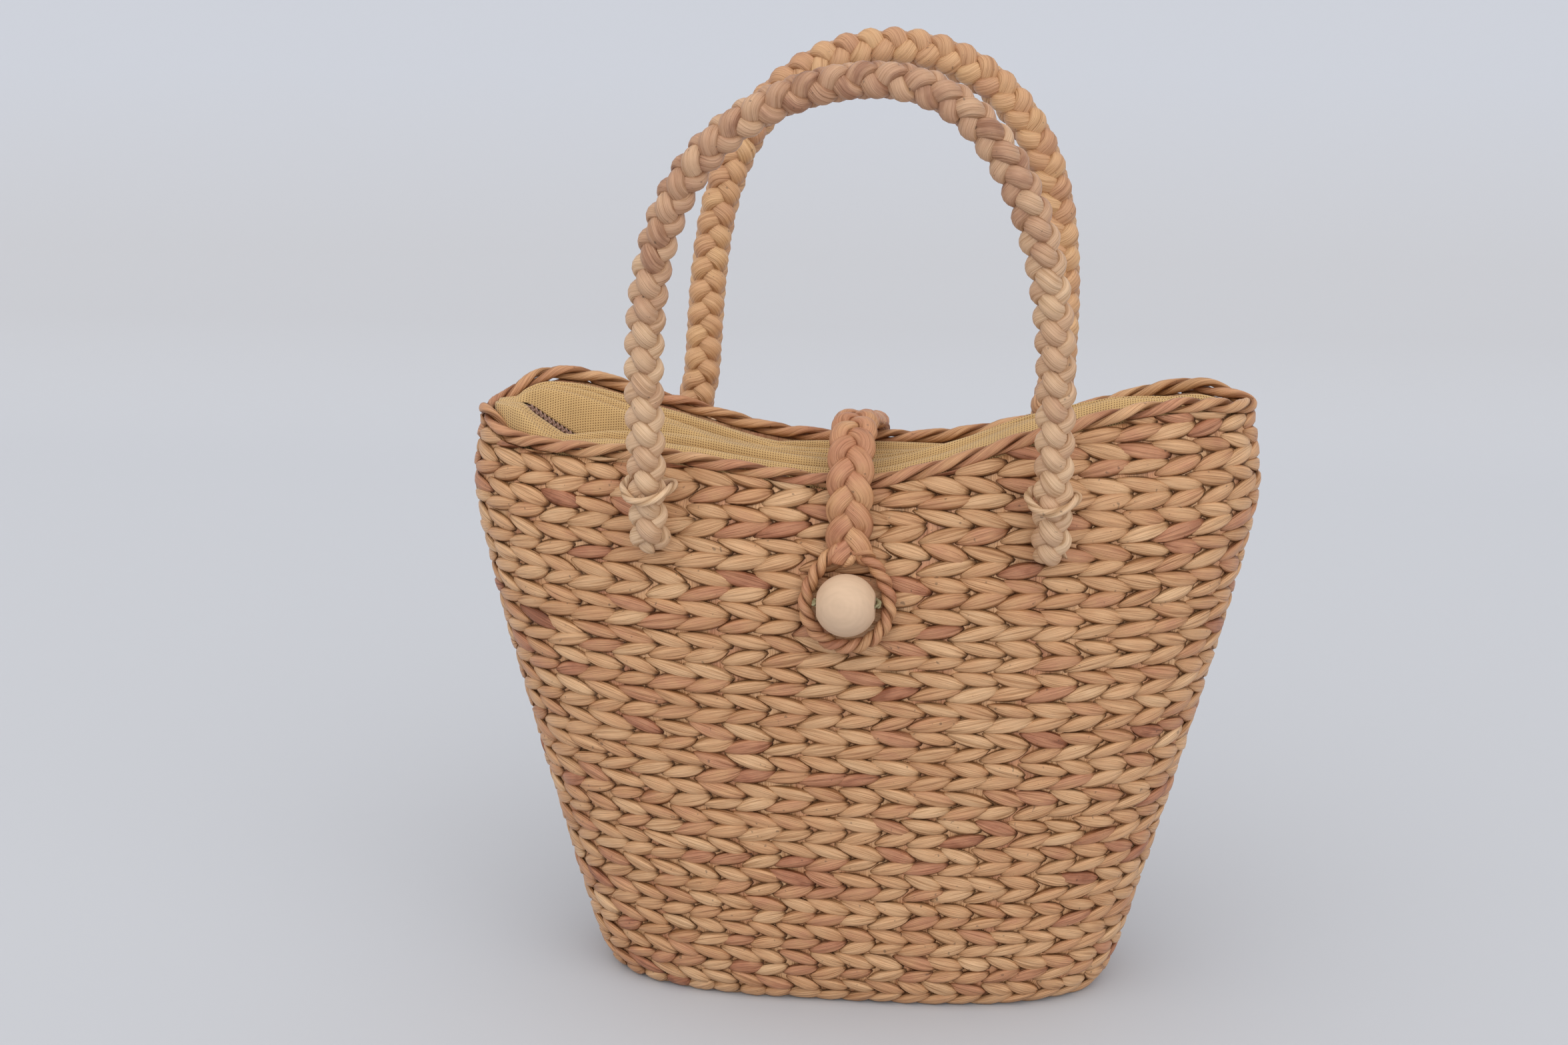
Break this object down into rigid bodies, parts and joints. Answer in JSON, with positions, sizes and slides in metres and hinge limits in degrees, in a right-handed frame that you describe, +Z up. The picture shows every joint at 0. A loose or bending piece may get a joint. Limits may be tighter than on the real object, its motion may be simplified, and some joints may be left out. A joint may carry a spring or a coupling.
{
  "type": "straw bag",
  "caption": "Twined straw handbag with braided arch handles, a roped boat-shaped rim, a braided strap that loops over a wooden bead, and a zipped cloth lining.",
  "frame": {"origin": "centre of the flat base, where the bag stands", "axes": "+Z up along the height, +X along the long side, -Y to the front with the bead"},
  "size_m": [0.3246, 0.1843, 0.3946],
  "materials": {
    "straw_weave": "dry straw",
    "straw_rope": "dry straw",
    "straw_braid": "dry straw",
    "straw_cord": "dry straw",
    "straw_strap": "dry straw",
    "bead_wood": "unfinished",
    "bead_cord": "cord",
    "lining_cloth": "open plain weave",
    "zip_tape": "woven tape",
    "zip_coil": "nylon coil",
    "zip_metal": "taupe enamel"
  },
  "bodies": {
    "bag": {"woven_body": "straw_weave", "rim_rope": "straw_rope", "handle_front": "straw_braid", "handle_rear": "straw_braid", "handle_tie_front_left": "straw_cord", "handle_tie_front_right": "straw_cord", "handle_tie_rear_left": "straw_cord", "handle_tie_rear_right": "straw_cord", "strap_anchor": "straw_strap", "bead_cord": "bead_cord", "lining_pouch": "lining_cloth", "lining_top_front": "lining_cloth", "lining_top_rear": "lining_cloth", "zip_tape_front": "zip_tape", "zip_tape_rear": "zip_tape", "zip_coil_front": "zip_coil", "zip_coil_rear": "zip_coil"},
    "flap": {"strap_flap": "straw_strap"},
    "bead": {"wooden_bead": "bead_wood"},
    "slider": {"zip_slider": "zip_metal"},
    "pull": {"zip_pull": "zip_metal"}
  },
  "joints": [
    {"name": "strap_lift", "type": "hinge", "parent": "bag", "child": "flap", "pos_m": [0, -0.0545, 0.23387], "axis": [-1, 0, 0], "range_deg": [0, 150]},
    {"name": "bead_turn", "type": "hinge", "parent": "bag", "child": "bead", "pos_m": [0, -0.07233, 0.184], "axis": [1, 0, 0], "continuous": true},
    {"name": "zip_slide", "type": "slide", "parent": "bag", "child": "slider", "axis": [-1, 0, 0], "range_m": [0, 0.172]},
    {"name": "pull_tilt", "type": "hinge", "parent": "slider", "child": "pull", "pos_m": [0.095, 0, 0.2279], "axis": [0, 1, 0], "range_deg": [0, 170]}
  ]
}
